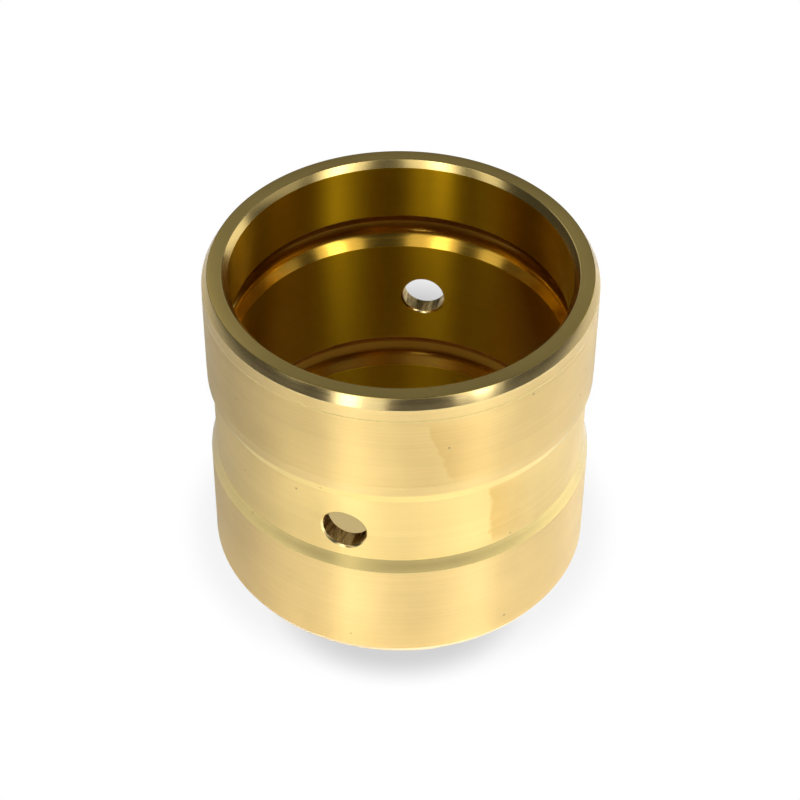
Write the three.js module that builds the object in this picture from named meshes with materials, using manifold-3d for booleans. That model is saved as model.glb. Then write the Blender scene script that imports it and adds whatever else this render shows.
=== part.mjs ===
// Bronze sleeve bushing: a plain sleeve turned from one bar of cast bronze.
//
// The sleeve stands on its bottom face. Millimetres, +Z up along the bore, origin at the
// centre of the bottom face. The first grease hole points along -Y, the front.
//
// The shape is one closed profile turned about Z, with two grease holes drilled through its wall.

import * as THREE from 'three';
import { mergeVertices } from 'three/addons/utils/BufferGeometryUtils.js';
import Module from 'manifold-3d';

// Sleeve
const OUTER_RADIUS = 37.5;
const BORE_RADIUS = 32.5;
const LENGTH = 67;

// Lead-in chamfers, the same at both ends
const OUTER_CHAMFER = { width: 1.15, height: 2.0 };
const BORE_CHAMFER = { width: 1.1, height: 1.4 };

// Wide shallow grease groove round the outside, at mid-length
const OUTER_GROOVE = { width: 20.4, depth: 1.07, flank: 2.5 };

// Two grease grooves round the bore, the same distance above and below mid-length
const BORE_GROOVE = { width: 8.0, depth: 2.0, flank: 2.5 };
const BORE_GROOVE_OFFSET = 16.2;

// Grease holes, drilled from the outer groove into the bore. An angle is turned from the front
// (-Y) towards +X, and a drop is how far the hole lies below mid-length.
const HOLE_RADIUS = 4.25;
const GREASE_HOLES = [
  { angle: 0, drop: 1.2 },
  { angle: 188.3, drop: 0.7 },
];

// Facets
const SLEEVE_SEGMENTS = 120;
const HOLE_SEGMENTS = 36;
const MERGE_TOLERANCE = 1e-4;

const MIDDLE = LENGTH / 2;

// A groove across a turned surface, as profile points in order of rising height: its two edges
// lie on the surface, and its floor is the depth away from it. toMetal is -1 where the metal lies
// inside the surface and +1 where it lies outside.
function groovePoints(surfaceRadius, centreHeight, { width, depth, flank }, toMetal) {
  const bottom = centreHeight - width / 2;
  const top = centreHeight + width / 2;
  const floorRadius = surfaceRadius + toMetal * depth;
  return [
    new THREE.Vector2(surfaceRadius, bottom),
    new THREE.Vector2(floorRadius, bottom + flank),
    new THREE.Vector2(floorRadius, top - flank),
    new THREE.Vector2(surfaceRadius, top),
  ];
}

// The sleeve's wall section: up the outside, across the top face, down the bore and across the
// bottom face, back to where it began.
function sleeveProfile() {
  const faceOuter = OUTER_RADIUS - OUTER_CHAMFER.width;
  const faceInner = BORE_RADIUS + BORE_CHAMFER.width;
  const lowerGroove = groovePoints(BORE_RADIUS, MIDDLE - BORE_GROOVE_OFFSET, BORE_GROOVE, 1);
  const upperGroove = groovePoints(BORE_RADIUS, MIDDLE + BORE_GROOVE_OFFSET, BORE_GROOVE, 1);
  const start = new THREE.Vector2(faceOuter, 0);
  return [
    start,
    new THREE.Vector2(OUTER_RADIUS, OUTER_CHAMFER.height),
    ...groovePoints(OUTER_RADIUS, MIDDLE, OUTER_GROOVE, -1),
    new THREE.Vector2(OUTER_RADIUS, LENGTH - OUTER_CHAMFER.height),
    new THREE.Vector2(faceOuter, LENGTH),
    new THREE.Vector2(faceInner, LENGTH),
    new THREE.Vector2(BORE_RADIUS, LENGTH - BORE_CHAMFER.height),
    ...upperGroove.reverse(),
    ...lowerGroove.reverse(),
    new THREE.Vector2(BORE_RADIUS, BORE_CHAMFER.height),
    new THREE.Vector2(faceInner, 0),
    start.clone(),
  ];
}

// The turned sleeve, with its axis on Z.
function turnedSleeve() {
  const sleeve = new THREE.LatheGeometry(sleeveProfile(), SLEEVE_SEGMENTS);
  return sleeve.rotateX(Math.PI / 2);
}

// A drill's path along one grease hole: a cylinder from inside the bore to outside the sleeve.
function drill({ angle, drop }) {
  const wall = OUTER_RADIUS - BORE_RADIUS;
  const path = new THREE.CylinderGeometry(HOLE_RADIUS, HOLE_RADIUS, 3 * wall, HOLE_SEGMENTS);
  path.translate(0, -(OUTER_RADIUS + BORE_RADIUS) / 2, 0);
  path.rotateZ(THREE.MathUtils.degToRad(angle));
  return path.translate(0, 0, MIDDLE - drop);
}

const manifold = await Module();
manifold.setup();

// A closed geometry as a solid that can be cut.
function toSolid(geometry) {
  geometry.deleteAttribute('normal');
  geometry.deleteAttribute('uv');
  const merged = mergeVertices(geometry, MERGE_TOLERANCE);
  return new manifold.Manifold(new manifold.Mesh({
    numProp: 3,
    vertProperties: new Float32Array(merged.attributes.position.array),
    triVerts: new Uint32Array(merged.index.array),
  }));
}

// A solid as a geometry, with flat facets.
function toGeometry(solid) {
  const { vertProperties, triVerts } = solid.getMesh();
  const indexed = new THREE.BufferGeometry();
  indexed.setAttribute('position', new THREE.BufferAttribute(vertProperties, 3));
  indexed.setIndex(new THREE.BufferAttribute(triVerts, 1));
  const faceted = indexed.toNonIndexed();
  faceted.computeVertexNormals();
  return faceted;
}

function bushingSleeve() {
  let solid = toSolid(turnedSleeve());
  for (const hole of GREASE_HOLES) {
    solid = solid.subtract(toSolid(drill(hole)));
  }
  const bronze = new THREE.MeshStandardMaterial({ color: 0xd8b368, roughness: 0.32, metalness: 1.0 });
  const mesh = new THREE.Mesh(toGeometry(solid), bronze);
  mesh.name = 'bushing_sleeve';
  return mesh;
}

const bushing = new THREE.Group();
bushing.add(bushingSleeve());

export default bushing;
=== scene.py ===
# A bronze sleeve bushing: one turned sleeve on a pale floor in soft studio light.
#
# Metres, in the CAD frame: +Z up along the bore, the origin at the centre of the bottom face, and the
# first grease hole towards -Y. The sleeve is one closed section turned about Z, like the CAD sleeve it
# replaces, with rounded edges, deburred grease holes, drill marks and the marks of the lathe tool.

import math
from collections import namedtuple

import bmesh
import bpy
from mathutils import Matrix, Vector

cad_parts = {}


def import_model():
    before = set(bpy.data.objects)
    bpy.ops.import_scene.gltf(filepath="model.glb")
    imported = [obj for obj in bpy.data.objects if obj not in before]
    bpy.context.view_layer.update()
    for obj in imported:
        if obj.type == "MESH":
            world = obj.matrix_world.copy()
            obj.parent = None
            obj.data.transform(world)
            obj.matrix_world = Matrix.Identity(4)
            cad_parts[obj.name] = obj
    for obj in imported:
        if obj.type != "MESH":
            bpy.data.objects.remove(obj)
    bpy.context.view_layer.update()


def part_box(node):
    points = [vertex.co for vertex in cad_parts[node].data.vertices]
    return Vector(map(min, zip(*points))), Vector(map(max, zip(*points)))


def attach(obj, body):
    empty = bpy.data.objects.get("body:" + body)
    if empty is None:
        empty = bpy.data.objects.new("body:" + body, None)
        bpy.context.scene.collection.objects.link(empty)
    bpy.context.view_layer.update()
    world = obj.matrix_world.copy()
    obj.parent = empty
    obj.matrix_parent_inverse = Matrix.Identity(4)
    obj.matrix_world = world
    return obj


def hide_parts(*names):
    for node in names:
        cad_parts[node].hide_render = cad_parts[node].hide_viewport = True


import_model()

SLEEVE_NODE = "bushing_sleeve"
BODY = "root"
MM = 0.001
ORIGIN = (0, 0, 0)
WHITE = (1, 1, 1, 1)
BLACK = (0, 0, 0, 1)

# Sleeve
LOW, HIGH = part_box(SLEEVE_NODE)
OUTER_RADIUS = (HIGH.x - LOW.x) / 2
LENGTH = HIGH.z - LOW.z
MIDDLE = LENGTH / 2
WALL = 5.0 * MM
BORE_RADIUS = OUTER_RADIUS - WALL
EDGE_ROUNDING = 0.25 * MM

# Lead-in chamfers, the same at both ends
Chamfer = namedtuple("Chamfer", "width height")
OUTER_CHAMFER = Chamfer(1.15 * MM, 2.0 * MM)
BORE_CHAMFER = Chamfer(1.1 * MM, 1.4 * MM)

# Grooves: one wide and shallow round the outside, and two in the bore
Groove = namedtuple("Groove", "width depth flank")
OUTER_GROOVE = Groove(20.4 * MM, 1.07 * MM, 2.5 * MM)
BORE_GROOVE = Groove(8.0 * MM, 2.0 * MM, 2.5 * MM)
# The bore grooves lie this far above and below mid-length, with well rounded corners at their floors
BORE_GROOVE_OFFSET = 16.2 * MM
GROOVE_ROUNDING = 3.5 * MM

# Bands on the outside that a second cut left a hair lower: one above the groove, one below the chamfer
BAND_DEPTH = 0.04 * MM
GROOVE_BAND = 1.9 * MM
CHAMFER_BAND = 2.5 * MM
BAND_STEP = 0.15 * MM

# Grease holes, drilled from the outer groove into the bore. The angle is turned from the front (-Y)
# towards +X, and the drop is how far the hole lies below mid-length.
Hole = namedtuple("Hole", "angle drop")
HOLE_RADIUS = 4.25 * MM
GREASE_HOLES = [
    Hole(math.radians(0), 1.2 * MM),
    Hole(math.radians(188.3), 0.7 * MM),
]
DEBURR = 0.35 * MM
DRILL_RIDGE = 0.04 * MM
DRILL_PITCH = 0.5 * MM
STEPS_PER_RIDGE = 6
# The bevel at a hole's edge as (how far into the wall, how much wider than the hole), in deburrs. Its
# first two points lie clear of the wall, and no ring lies on the surface that it cuts.
BEVEL = [(-2.0, 3.0), (-0.3, 1.3), (0.4, 0.4), (1.0, 0.0)]

# Mesh fineness: facets round the sleeve and round a hole, steps in a rounded corner, and the longest
# step along the section
SLEEVE_SEGMENTS = 360
HOLE_SEGMENTS = 120
ROUNDING_STEPS = 5
LONGEST_STEP = 2.0 * MM
# A rounding takes at most this share of the shorter edge beside it
ROUNDED_SHARE = 0.45
# Points closer than this become one, and edges that bend more than this stay sharp
WELD_DISTANCE = 0.003 * MM
SHARP_ANGLE = math.radians(28)

# Tool marks: how often the pattern changes in a metre, round the sleeve and across the marks
FINE_RINGS = (6.0, 2600.0)
WIDE_RINGS = (9.0, 520.0)
FINE_RING_TINT = 0.10
WIDE_RING_TINT = 0.06
RING_DETAIL = 2.0
MARK_SHADE = 0.6
MARK_DEPTH = 0.004 * MM
# Clouds, where the bronze is a little lighter or darker
CLOUD_SCALE = 55.0
CLOUD_DETAIL = 4.0
CLOUD_SHADES = (1.02, 0.93)
# Rings and clouds make the roughness uneven by this much each
ROUGHNESS_SPREAD = 0.02
# The film of oil on the outside
OIL_ROUGHNESS = 0.25
# Scores along the wall of a drilled hole
SCORE_SCALE = 1300.0
SCORE_DETAIL = 4.0
SCORE_STRETCH = 0.15
SCORE_DEPTH = 0.08 * MM
SCORE_DARK = (0.20, 0.13, 0.03, 1)
SCORE_LIGHT = (0.95, 0.76, 0.38, 1)
SCORE_ROUGHNESS = (0.15, 0.35)
# Casting pores, a fraction of the distance between them in size
PORE_SCALE = 140.0
PORE_SIZE = 0.025
PORE_TINT = 0.6
PORE_SHADE = 0.3
# Most of a noise's values lie between these two
NOISE_LOW = 0.3
NOISE_HIGH = 0.7
# Turns the stretched reflection from round the sleeve to across the tool marks
QUARTER_TURN = 0.25

# Darker, yellower patches on the outside: start and end are angles from the front towards +X, sharp at the
# start and faded at the end, lean is how much the start grows for each metre down, and low and high are
# heights.
DarkPatch = namedtuple("DarkPatch", "start end lean low high strength")
DARK_PATCHES = [
    DarkPatch(math.radians(23), math.radians(47), 9.0, 46 * MM, 62 * MM, 0.6),
    DarkPatch(math.radians(44), math.radians(59), 0.5, 26 * MM, 42 * MM, 1.0),
]
DARK_PATCH_EDGE = math.radians(1)
DARK_PATCH_EDGE_SCALE = 300.0
DARK_PATCH_EDGE_DETAIL = 3.0
DARK_PATCH_FADE = 2.0 * MM
DARK_PATCH_TINT = (0.88, 0.79, 0.62, 1)

# Camera
CAMERA_AZIMUTH = math.radians(16.5)
CAMERA_ELEVATION = math.radians(42.765)
CAMERA_DISTANCE = 0.4511
CAMERA_ROLL = math.radians(0.43)
CAMERA_LENS = 102.86
AIM_HEIGHT = 33.1 * MM

# Floor. Three round patches of it carry a painted shadow: at the front of the sleeve's foot, all round the
# foot, and behind the sleeve. A patch's centre is offset from the axis towards the camera. It is darkest
# within its radius, and gone its reach further out.
FLOOR_RADIUS = 4.0
FLOOR_SEGMENTS = 64
PAPER = (0.86, 0.86, 0.87, 1)
Patch = namedtuple("Patch", "offset radius reach brightness")
FRONT_OFFSET = 18.0 * MM
SHADED_PATCHES = [
    Patch(FRONT_OFFSET, OUTER_RADIUS - FRONT_OFFSET, 9.0 * MM, 0.72),
    Patch(0.0, OUTER_RADIUS, 9.0 * MM, 0.9),
    Patch(-42.0 * MM, 22.0 * MM, 22.0 * MM, 0.5),
]
# A painted glow that stands in for the bronze's warm light on the paper inside the bore. It darkens
# (painted shade) from its middle to the bore's wall, and its edge is hidden under the sleeve.
BORE_LIGHT = (0.55, 0.42, 0.19, 1)
BORE_LIGHT_MIDDLE = BORE_RADIUS / 2
BORE_LIGHT_EDGE = BORE_RADIUS + WALL / 2
BORE_FOOT_BRIGHTNESS = 0.6
# How strongly the backdrop lights the scene
ROOM_LIGHT = 0.05


# ---- the sleeve's wall section --------------------------------------------------------------------

# A corner of the section, the finish of the surface from it to the next corner, and its rounding.
Corner = namedtuple("Corner", "radius height finish rounding", defaults=[EDGE_ROUNDING])

# A turned finish: the bronze's colour there, its roughness, how far the tool marks stretch a reflection
# across themselves, how deep they are, the direction across them as (outward, upward), and how much oil
# lies on it. Only the oiled outside has pores and darker patches.
Finish = namedtuple("Finish", "colour roughness stretch marks across oil")
UP = (0, 1)
OUTWARD = (1, 0)
FINISHES = {
    "land": Finish((0.95, 0.70, 0.275), 0.45, 0.95, 0.5, UP, 0.35),
    # The upper land is a slightly darker copy of the land: painted shade on the upper part of the outside.
    "upper_land": Finish((0.90, 0.66, 0.25), 0.45, 0.95, 0.5, UP, 0.35),
    "band": Finish((0.89, 0.66, 0.26), 0.43, 0.95, 0.3, UP, 0.35),
    # The flank colour is the bronze darkened to paint in shade.
    "flank": Finish((0.70, 0.54, 0.20), 0.22, 0.60, 0.2, UP, 0.35),
    "overhang": Finish((0.90, 0.70, 0.25), 0.40, 0.90, 0.3, UP, 0.35),
    "groove": Finish((0.95, 0.71, 0.265), 0.43, 0.94, 0.6, UP, 0.35),
    "chamfer": Finish((0.90, 0.69, 0.31), 0.21, 0.60, 0.3, UP, 0.0),
    # The end faces' darker colour is painted shade.
    "face": Finish((0.71, 0.53, 0.17), 0.30, 0.70, 0.9, OUTWARD, 0.0),
    # The bore's dark, red colour is the bronze darkened and reddened to paint in the shade inside the bore.
    "bore": Finish((0.60, 0.335, 0.006), 0.38, 1.00, 0.3, UP, 0.0),
    "bore_chamfer": Finish((0.90, 0.67, 0.25), 0.22, 0.50, 0.3, OUTWARD, 0.0),
    # The bore grooves' colour is darkened and reddened too: painted shade in the grooves.
    "bore_groove": Finish((0.72, 0.42, 0.055), 0.18, 0.50, 0.3, UP, 0.0),
}
DRILLED = "drilled"
FINISH_NUMBERS = {name: number for number, name in enumerate([*FINISHES, DRILLED])}


def outer_groove_corners():
    """The outer groove's corners, in order of rising height, with the band above it."""
    bottom = MIDDLE - OUTER_GROOVE.width / 2
    top = MIDDLE + OUTER_GROOVE.width / 2
    floor_radius = OUTER_RADIUS - OUTER_GROOVE.depth
    band_radius = OUTER_RADIUS - BAND_DEPTH
    return [
        Corner(OUTER_RADIUS, bottom, "flank"),
        Corner(floor_radius, bottom + OUTER_GROOVE.flank, "groove"),
        Corner(floor_radius, top - OUTER_GROOVE.flank, "overhang"),
        Corner(band_radius, top, "band"),
        Corner(band_radius, top + GROOVE_BAND, "overhang"),
        Corner(OUTER_RADIUS, top + GROOVE_BAND + BAND_STEP, "upper_land"),
    ]


def chamfer_band_corners():
    """The band below the top chamfer, up to the chamfer."""
    top = LENGTH - OUTER_CHAMFER.height
    band_radius = OUTER_RADIUS - BAND_DEPTH
    return [
        Corner(OUTER_RADIUS, top - CHAMFER_BAND - BAND_STEP, "flank"),
        Corner(band_radius, top - CHAMFER_BAND, "band"),
        Corner(band_radius, top, "chamfer"),
    ]


def bore_groove_corners(centre):
    """One bore groove's corners, in order of falling height."""
    top = centre + BORE_GROOVE.width / 2
    bottom = centre - BORE_GROOVE.width / 2
    floor_radius = BORE_RADIUS + BORE_GROOVE.depth
    return [
        Corner(BORE_RADIUS, top, "bore_groove"),
        Corner(floor_radius, top - BORE_GROOVE.flank, "bore_groove", GROOVE_ROUNDING),
        Corner(floor_radius, bottom + BORE_GROOVE.flank, "bore_groove", GROOVE_ROUNDING),
        Corner(BORE_RADIUS, bottom, "bore"),
    ]


def section_corners():
    """The whole section: up the outside, across the top, down the bore and back across the bottom."""
    face_outer = OUTER_RADIUS - OUTER_CHAMFER.width
    face_inner = BORE_RADIUS + BORE_CHAMFER.width
    return [
        Corner(face_outer, 0, "chamfer"),
        Corner(OUTER_RADIUS, OUTER_CHAMFER.height, "land"),
        *outer_groove_corners(),
        *chamfer_band_corners(),
        Corner(face_outer, LENGTH, "face"),
        Corner(face_inner, LENGTH, "bore_chamfer"),
        Corner(BORE_RADIUS, LENGTH - BORE_CHAMFER.height, "bore"),
        *bore_groove_corners(MIDDLE + BORE_GROOVE_OFFSET),
        *bore_groove_corners(MIDDLE - BORE_GROOVE_OFFSET),
        Corner(BORE_RADIUS, BORE_CHAMFER.height, "bore_chamfer"),
        Corner(face_inner, 0, "face"),
    ]


def rounded_corner(before, corner, after):
    """Points of a small curve in place of a corner, tangent to the edges on both sides of it."""
    here = Vector((corner.radius, corner.height))
    to_before = Vector((before.radius, before.height)) - here
    to_after = Vector((after.radius, after.height)) - here
    half = to_before.angle(to_after) / 2
    longest = ROUNDED_SHARE * min(to_before.length, to_after.length)
    reach = min(corner.rounding / math.tan(half), longest)
    start = here + to_before.normalized() * reach
    end = here + to_after.normalized() * reach
    points = []
    for step in range(ROUNDING_STEPS + 1):
        t = step / ROUNDING_STEPS
        points.append(start * (1 - t) ** 2 + here * 2 * t * (1 - t) + end * t ** 2)
    return points


def section_points():
    """The section as (point, finish number of the edge after it), with rounded corners and no long steps."""
    corners = section_corners()
    points = []
    for i, corner in enumerate(corners):
        after = corners[(i + 1) % len(corners)]
        following = corners[(i + 2) % len(corners)]
        curve = rounded_corner(corners[i - 1], corner, after)
        next_curve = rounded_corner(corner, after, following)
        finish = FINISH_NUMBERS[corner.finish]
        points.extend((point, finish) for point in curve)
        run = next_curve[0] - curve[-1]
        steps = math.ceil(run.length / LONGEST_STEP)
        points.extend((curve[-1] + run * step / steps, finish) for step in range(1, steps))
    return points


# ---- finishes -------------------------------------------------------------------------------------

class Graph:
    """Short ways to add nodes to one material's shader graph."""

    def __init__(self, name):
        self.material = bpy.data.materials.new(name)
        self.material.use_nodes = True
        self.tree = self.material.node_tree
        self.shader = self.tree.nodes["Principled BSDF"]

    def put(self, socket, value):
        """Links an output to an input, or sets the input to a plain value."""
        if isinstance(value, bpy.types.NodeSocket):
            self.tree.links.new(value, socket)
        else:
            socket.default_value = value

    def node(self, kind, settings, inputs):
        """Adds a node, sets its settings and its inputs by name or number, and returns it."""
        node = self.tree.nodes.new(kind)
        for name, value in settings.items():
            setattr(node, name, value)
        for name, value in inputs.items():
            self.put(node.inputs[name], value)
        return node

    def math(self, operation, a, b=0.0):
        return self.node("ShaderNodeMath", {"operation": operation}, {0: a, 1: b}).outputs[0]

    def vector(self, x, y, z):
        return self.node("ShaderNodeCombineXYZ", {}, {0: x, 1: y, 2: z}).outputs[0]

    def parts(self, vector):
        return self.node("ShaderNodeSeparateXYZ", {}, {0: vector}).outputs

    def position(self):
        return self.node("ShaderNodeTexCoord", {}, {}).outputs["Object"]

    def distance(self, a, b):
        return self.node("ShaderNodeVectorMath", {"operation": "DISTANCE"}, {0: a, 1: b}).outputs["Value"]

    def noise(self, vector, scale, detail):
        inputs = {"Vector": vector, "Scale": scale, "Detail": detail}
        return self.node("ShaderNodeTexNoise", {}, inputs).outputs["Fac"]

    def rings(self, x, y, across, pattern):
        """Noise drawn out into rings, with its scale round the axis and its scale across the rings."""
        around_scale, across_scale = pattern
        squeezed = self.math("MULTIPLY", across, across_scale / around_scale)
        return self.noise(self.vector(x, y, squeezed), around_scale, RING_DETAIL)

    def remap(self, value, low, high, to_low, to_high, kind="LINEAR"):
        """value's range low to high becomes to_low to to_high, and it stays in it."""
        inputs = {"Value": value, "From Min": low, "From Max": high, "To Min": to_low, "To Max": to_high}
        return self.node("ShaderNodeMapRange", {"interpolation_type": kind}, inputs).outputs[0]

    def spread(self, noise, to_low, to_high):
        """A noise's usual range becomes to_low to to_high."""
        return self.remap(noise, NOISE_LOW, NOISE_HIGH, to_low, to_high)

    def blend(self, factor, a, b, kind="MIX"):
        """Mixes two colours. A Mix node's colours are its inputs 6 and 7 and its output 2."""
        settings = {"data_type": "RGBA", "blend_type": kind}
        return self.node("ShaderNodeMix", settings, {"Factor": factor, 6: a, 7: b}).outputs[2]

    def bump(self, height, depth):
        return self.node("ShaderNodeBump", {}, {"Height": height, "Distance": depth}).outputs[0]

    def set_shader(self, inputs):
        for name, value in inputs.items():
            self.put(self.shader.inputs[name], value)


def toned(colour, factor):
    """A colour made lighter or darker, as RGBA."""
    return (*(min(1.0, channel * factor) for channel in colour), 1.0)


def dark_patch_mask(graph, position, dark_patch):
    """Where one dark patch lies, as 0 to its strength."""
    x, y, z = graph.parts(position)
    angle = graph.math("ARCTAN2", x, graph.math("MULTIPLY", y, -1.0))
    lean = graph.math("MULTIPLY", graph.math("SUBTRACT", dark_patch.high, z), dark_patch.lean)
    edge_noise = graph.noise(position, DARK_PATCH_EDGE_SCALE, DARK_PATCH_EDGE_DETAIL)
    ragged = graph.spread(edge_noise, -DARK_PATCH_EDGE, DARK_PATCH_EDGE)
    past = graph.math("ADD", graph.math("SUBTRACT", angle, lean), ragged)
    begun = graph.remap(past, dark_patch.start, dark_patch.start + DARK_PATCH_EDGE, 0.0, dark_patch.strength)
    ended = graph.remap(past, dark_patch.start, dark_patch.end, 1.0, 0.0)
    above = graph.remap(z, dark_patch.low, dark_patch.low + DARK_PATCH_FADE, 0.0, 1.0)
    below = graph.remap(z, dark_patch.high - DARK_PATCH_FADE, dark_patch.high, 1.0, 0.0)
    round_the_sleeve = graph.math("MULTIPLY", begun, ended)
    in_height = graph.math("MULTIPLY", above, below)
    return graph.math("MULTIPLY", round_the_sleeve, in_height)


def pored_and_patched(graph, position, bronze, colour):
    """The colour of the outside with its casting pores and darker, yellower patches."""
    cells = graph.node("ShaderNodeTexVoronoi", {}, {"Vector": position, "Scale": PORE_SCALE})
    pore = graph.remap(cells.outputs["Distance"], PORE_SIZE, 2 * PORE_SIZE, PORE_TINT, 0.0)
    colour = graph.blend(pore, colour, toned(bronze, PORE_SHADE))
    for dark_patch in DARK_PATCHES:
        colour = graph.blend(dark_patch_mask(graph, position, dark_patch), colour, DARK_PATCH_TINT, "MULTIPLY")
    return colour


def turned_bronze(name, finish):
    """Bronze as a lathe tool leaves it: fine and wide rings, and a reflection stretched across them."""
    graph = Graph(name)
    position = graph.position()
    x, y, z = graph.parts(position)
    radius = graph.distance(graph.vector(x, y, 0.0), ORIGIN)
    outward, upward = finish.across
    across = graph.math("ADD", graph.math("MULTIPLY", radius, outward), graph.math("MULTIPLY", z, upward))
    fine = graph.rings(x, y, across, FINE_RINGS)
    wide = graph.rings(x, y, across, WIDE_RINGS)
    clouds = graph.noise(position, CLOUD_SCALE, CLOUD_DETAIL)

    light, dark = (toned(finish.colour, factor) for factor in CLOUD_SHADES)
    marked = toned(finish.colour, MARK_SHADE)
    colour = graph.blend(graph.spread(clouds, 0.0, 1.0), light, dark)
    colour = graph.blend(graph.spread(fine, 0.0, FINE_RING_TINT), colour, marked)
    colour = graph.blend(graph.spread(wide, 0.0, WIDE_RING_TINT), colour, marked)
    if finish.oil:
        colour = pored_and_patched(graph, position, finish.colour, colour)
    rough_rings = graph.spread(fine, -ROUGHNESS_SPREAD, ROUGHNESS_SPREAD)
    rough_clouds = graph.spread(clouds, -ROUGHNESS_SPREAD, ROUGHNESS_SPREAD)
    uneven = graph.math("ADD", rough_rings, rough_clouds)
    tangent = graph.node("ShaderNodeTangent", {"direction_type": "RADIAL", "axis": "Z"}, {})
    graph.set_shader({
        "Base Color": colour,
        "Metallic": 1.0,
        "Roughness": graph.math("ADD", uneven, finish.roughness),
        "Anisotropic": finish.stretch,
        "Anisotropic Rotation": QUARTER_TURN,
        "Tangent": tangent.outputs[0],
        "Normal": graph.bump(fine, finish.marks * MARK_DEPTH),
        "Coat Weight": finish.oil,
        "Coat Roughness": OIL_ROUGHNESS,
    })
    return graph.material


def drilled_bronze():
    """The torn bronze of a drilled wall, scored along the drill's path, which lies close to Y."""
    graph = Graph(DRILLED)
    x, y, z = graph.parts(graph.position())
    along = graph.math("MULTIPLY", y, SCORE_STRETCH)
    scores = graph.noise(graph.vector(x, along, z), SCORE_SCALE, SCORE_DETAIL)
    graph.set_shader({
        "Base Color": graph.blend(graph.spread(scores, 0.0, 1.0), SCORE_DARK, SCORE_LIGHT),
        "Metallic": 1.0,
        "Roughness": graph.spread(scores, *SCORE_ROUGHNESS),
        "Normal": graph.bump(scores, SCORE_DEPTH),
    })
    return graph.material


# ---- meshes ---------------------------------------------------------------------------------------

def mesh_object(name, bm):
    """A new object in the scene from a bmesh, which is freed."""
    mesh = bpy.data.meshes.new(name)
    bm.to_mesh(mesh)
    bm.free()
    piece = bpy.data.objects.new(name, mesh)
    bpy.context.scene.collection.objects.link(piece)
    return piece


def around(angle, radius, height):
    """The point at this angle from the front (-Y) towards +X."""
    return Vector((radius * math.sin(angle), -radius * math.cos(angle), height))


def turned_sleeve():
    """The section turned about Z, a closed ring of quads with one finish number on each."""
    section = section_points()
    bm = bmesh.new()
    rings = []
    for i in range(SLEEVE_SEGMENTS):
        angle = 2 * math.pi * i / SLEEVE_SEGMENTS
        rings.append([bm.verts.new(around(angle, point.x, point.y)) for point, _ in section])
    for i, ring in enumerate(rings):
        following = rings[(i + 1) % SLEEVE_SEGMENTS]
        for j, (_, finish) in enumerate(section):
            k = (j + 1) % len(section)
            face = bm.faces.new((ring[j], following[j], following[k], ring[k]))
            face.material_index = finish
    return mesh_object("bushing_body", bm)


# A ring of points round a drill: a surface that it is bent to, how far past that surface it lies, and the
# hole's radius there.
DrillRing = namedtuple("DrillRing", "surface past radius")


def drill_rings():
    """A drill's rings from inside the bore to outside the groove, with a rounded bevel at both edges."""
    bore = BORE_RADIUS
    groove = OUTER_RADIUS - OUTER_GROOVE.depth
    wall = groove - bore
    count = math.ceil(wall / DRILL_PITCH * STEPS_PER_RIDGE)
    inner_bevel = [DrillRing(bore, DEBURR * deep, HOLE_RADIUS + DEBURR * wide) for deep, wide in BEVEL]
    outer_bevel = [DrillRing(groove, -past, radius) for _, past, radius in reversed(inner_bevel)]
    straight = []
    for i in range(1, count):
        t = i / count
        straight.append(DrillRing(bore + wall * t, DEBURR * (1 - 2 * t), HOLE_RADIUS))
    return inner_bevel + straight + outer_bevel


def ring_points(ring):
    """One ring's points. On the hole's straight wall they carry the drill's spiral ridges."""
    points = []
    for i in range(HOLE_SEGMENTS):
        turn = 2 * math.pi * i / HOLE_SEGMENTS
        ridge = 0.0
        if ring.radius == HOLE_RADIUS:
            ridge = DRILL_RIDGE * math.sin(2 * math.pi * (ring.surface + ring.past) / DRILL_PITCH + turn)
        x = (ring.radius + ridge) * math.cos(turn)
        z = (ring.radius + ridge) * math.sin(turn)
        points.append((x, -math.sqrt(ring.surface ** 2 - x ** 2) - ring.past, z))
    return points


def drill(hole):
    """A cutter for one grease hole. Its ends follow the bore and the groove, so both edges lose an
    even bevel."""
    bm = bmesh.new()
    profile = drill_rings()
    rings = [[bm.verts.new(point) for point in ring_points(ring)] for ring in profile]
    for k in range(len(rings) - 1):
        straight = profile[k].radius == profile[k + 1].radius
        finish = FINISH_NUMBERS[DRILLED if straight else "chamfer"]
        for i in range(HOLE_SEGMENTS):
            j = (i + 1) % HOLE_SEGMENTS
            face = bm.faces.new((rings[k][i], rings[k][j], rings[k + 1][j], rings[k + 1][i]))
            face.material_index = finish
    bm.faces.new(rings[0][::-1])
    bm.faces.new(rings[-1])
    bmesh.ops.recalc_face_normals(bm, faces=bm.faces)
    place = Matrix.Translation((0, 0, MIDDLE - hole.drop)) @ Matrix.Rotation(hole.angle, 4, "Z")
    bmesh.ops.transform(bm, matrix=place, verts=bm.verts)
    return mesh_object("drill", bm)


def bake_modifiers(piece):
    """Turns the modifiers' result into the piece's own mesh."""
    graph = bpy.context.evaluated_depsgraph_get()
    mesh = bpy.data.meshes.new_from_object(piece.evaluated_get(graph))
    piece.modifiers.clear()
    piece.data = mesh


def weld(piece):
    """Joins points that a cut left almost on top of each other."""
    bm = bmesh.new()
    bm.from_mesh(piece.data)
    bmesh.ops.remove_doubles(bm, verts=bm.verts, dist=WELD_DISTANCE)
    bm.to_mesh(piece.data)
    bm.free()


def cut(piece, cutter):
    """Cuts one closed mesh out of another and removes the cutter."""
    boolean = piece.modifiers.new("cut", "BOOLEAN")
    boolean.operation = "DIFFERENCE"
    boolean.solver = "EXACT"
    boolean.object = cutter
    bpy.context.view_layer.update()
    bake_modifiers(piece)
    weld(piece)
    bpy.data.objects.remove(cutter)


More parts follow.
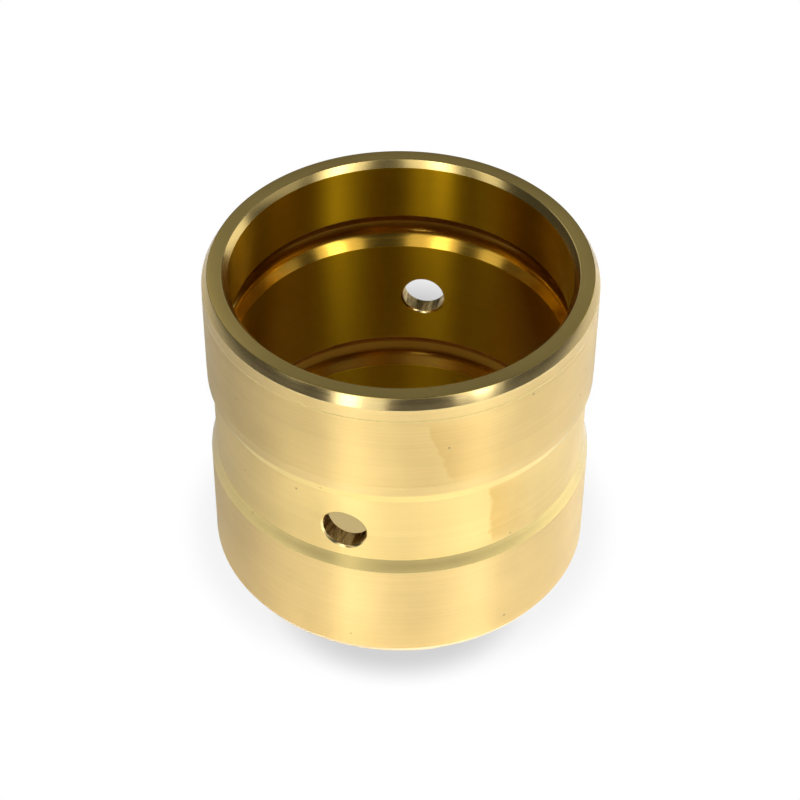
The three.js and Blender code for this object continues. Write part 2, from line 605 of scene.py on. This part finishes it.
def bushing_body():
    """The whole bushing: the turned sleeve with its materials and its two grease holes."""
    piece = turned_sleeve()
    finish_materials = [turned_bronze(name, finish) for name, finish in FINISHES.items()]
    finish_materials.append(drilled_bronze())
    for material in finish_materials:
        piece.data.materials.append(material)
    for hole in GREASE_HOLES:
        cutter = drill(hole)
        for material in finish_materials:
            cutter.data.materials.append(material)
        cut(piece, cutter)
    piece.data.shade_smooth()
    piece.data.set_sharp_from_angle(angle=SHARP_ANGLE)
    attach(piece, BODY)
    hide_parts(SLEEVE_NODE)


# ---- the room -------------------------------------------------------------------------------------

def look_along(azimuth, elevation, roll=0.0):
    """The rotation of a camera or lamp that looks back from this direction at the object."""
    turn = Matrix.Rotation(azimuth, 4, "Z")
    tilt = Matrix.Rotation(math.pi / 2 - elevation, 4, "X")
    return turn @ tilt @ Matrix.Rotation(roll, 4, "Z")


def from_object(azimuth, elevation, distance):
    """The point at this distance from the camera's aim on the axis, azimuth turned from the front."""
    level = distance * math.cos(elevation)
    return around(azimuth, level, AIM_HEIGHT + distance * math.sin(elevation))


def camera():
    """The camera, at the photograph's viewing angle."""
    data = bpy.data.cameras.new("camera")
    data.lens = CAMERA_LENS
    piece = bpy.data.objects.new("camera", data)
    bpy.context.scene.collection.objects.link(piece)
    place = Matrix.Translation(from_object(CAMERA_AZIMUTH, CAMERA_ELEVATION, CAMERA_DISTANCE))
    piece.matrix_world = place @ look_along(CAMERA_AZIMUTH, CAMERA_ELEVATION, CAMERA_ROLL)
    bpy.context.scene.camera = piece


def softbox(lamp):
    """A rectangular lamp that faces the object and that the camera doesn't see."""
    data = bpy.data.lights.new(lamp.name, "AREA")
    data.shape = "RECTANGLE"
    data.size = lamp.width
    data.size_y = lamp.height
    data.energy = lamp.power
    piece = bpy.data.objects.new(lamp.name, data)
    bpy.context.scene.collection.objects.link(piece)
    azimuth = CAMERA_AZIMUTH + math.radians(lamp.azimuth)
    elevation = math.radians(lamp.elevation)
    place = Matrix.Translation(from_object(azimuth, elevation, lamp.distance))
    piece.matrix_world = place @ look_along(azimuth, elevation)
    piece.visible_camera = False
    return piece


def shaded(graph, position, patch):
    """How bright the paper is as one patch's painted shadow darkens it."""
    away = graph.distance(position, around(CAMERA_AZIMUTH, patch.offset, 0))
    edge = patch.radius + patch.reach
    return graph.remap(away, patch.radius, edge, patch.brightness, 1.0, "SMOOTHSTEP")


def floor():
    """White paper. The bronze sees it as the lamps light it. The camera sees it glowing evenly white, with
    painted soft shadows at the sleeve's foot and a painted glow of the bronze's warm light inside the bore."""
    bm = bmesh.new()
    bmesh.ops.create_circle(bm, cap_ends=True, radius=FLOOR_RADIUS, segments=FLOOR_SEGMENTS)
    piece = mesh_object("floor", bm)
    graph = Graph("floor_paper")
    seen = graph.node("ShaderNodeLightPath", {}, {}).outputs["Is Camera Ray"]
    position = graph.position()
    # Painted shadows: outside the bore the patches darken the paper's glow.
    outside = 1.0
    for patch in SHADED_PATCHES:
        outside = graph.math("MULTIPLY", shaded(graph, position, patch), outside)
    # Painted light: inside the bore the paper glows with the bronze's warm colour, darker towards the wall.
    radius = graph.distance(position, ORIGIN)
    fade = (BORE_LIGHT_MIDDLE, BORE_RADIUS, 1.0, BORE_FOOT_BRIGHTNESS)
    inside = graph.remap(radius, *fade, "SMOOTHSTEP")
    in_bore = graph.math("LESS_THAN", radius, BORE_LIGHT_EDGE)
    brightness = graph.blend(in_bore, outside, inside)
    light = graph.blend(in_bore, WHITE, BORE_LIGHT)
    graph.set_shader({
        "Base Color": graph.blend(seen, PAPER, BLACK),
        "Specular IOR Level": 0.0,
        "Emission Color": light,
        "Emission Strength": graph.math("MULTIPLY", seen, brightness),
    })
    piece.data.materials.append(graph.material)


def world():
    """A backdrop that the camera sees as white, and that lights the scene only a little."""
    sky = bpy.data.worlds.new("studio")
    sky.use_nodes = True
    tree = sky.node_tree
    background = tree.nodes["Background"]
    background.inputs["Color"].default_value = WHITE
    seen = tree.nodes.new("ShaderNodeLightPath").outputs["Is Camera Ray"]
    strength = tree.nodes.new("ShaderNodeMapRange")
    strength.inputs["To Min"].default_value = ROOM_LIGHT
    strength.inputs["To Max"].default_value = 1.0
    tree.links.new(seen, strength.inputs["Value"])
    tree.links.new(strength.outputs[0], background.inputs["Strength"])
    bpy.context.scene.world = sky
    bpy.context.scene.view_settings.view_transform = "Standard"


# Azimuths are turned from the camera's own to the right, and both angles are in degrees. A core is a
# brighter stripe inside its window.
FAR = 1.2
NEAR = 0.2
Lamp = namedtuple("Lamp", "name azimuth elevation distance width height power")
WINDOWS = [
    Lamp("window_right", 41, 36, FAR, 0.55, 1.05, 1.9),
    Lamp("window_right_core", 43, 36, FAR, 0.20, 1.00, 1.7),
    Lamp("window_left", -21, 31, FAR, 0.60, 1.34, 2.4),
    Lamp("window_left_core", -26, 31, FAR, 0.20, 1.20, 1.7),
    Lamp("window_left_top", -25, 66, FAR, 0.30, 0.30, 0.35),
    Lamp("horizon", 10, 4, FAR, 0.70, 0.16, 0.16),
    Lamp("overhead_front", 8, 68, FAR, 0.80, 0.30, 0.4),
    Lamp("side_right", 97, 36, FAR, 1.10, 0.50, 0.7),
    Lamp("side_left", -60, 42, FAR, 0.28, 1.00, 0.85),
    Lamp("low_right", 122, 14, FAR, 0.50, 0.45, 0.8),
    Lamp("back", 180, 42, FAR, 1.10, 0.55, 0.45),
    Lamp("back_left", -145, 40, FAR, 0.50, 0.50, 0.5),
]
# These light the floor and don't show in the bronze. The near ones stand in an arc close to the sleeve.
NEAR_AZIMUTHS = range(-52, 101, 38)
WASHES = [
    Lamp("wash_right", 100, 40, FAR, 0.60, 0.60, 2.3),
    Lamp("wash_front", 60, 40, FAR, 0.60, 0.60, 3.4),
    *(Lamp(f"wash_near_{i}", turn, 22, NEAR, 0.08, 0.08, 0.135) for i, turn in enumerate(NEAR_AZIMUTHS)),
]


def studio():
    """The lamps: the windows show in the bronze, and the washes don't."""
    for lamp in WINDOWS + WASHES:
        softbox(lamp).visible_glossy = lamp in WINDOWS


camera()
floor()
world()
studio()
bushing_body()
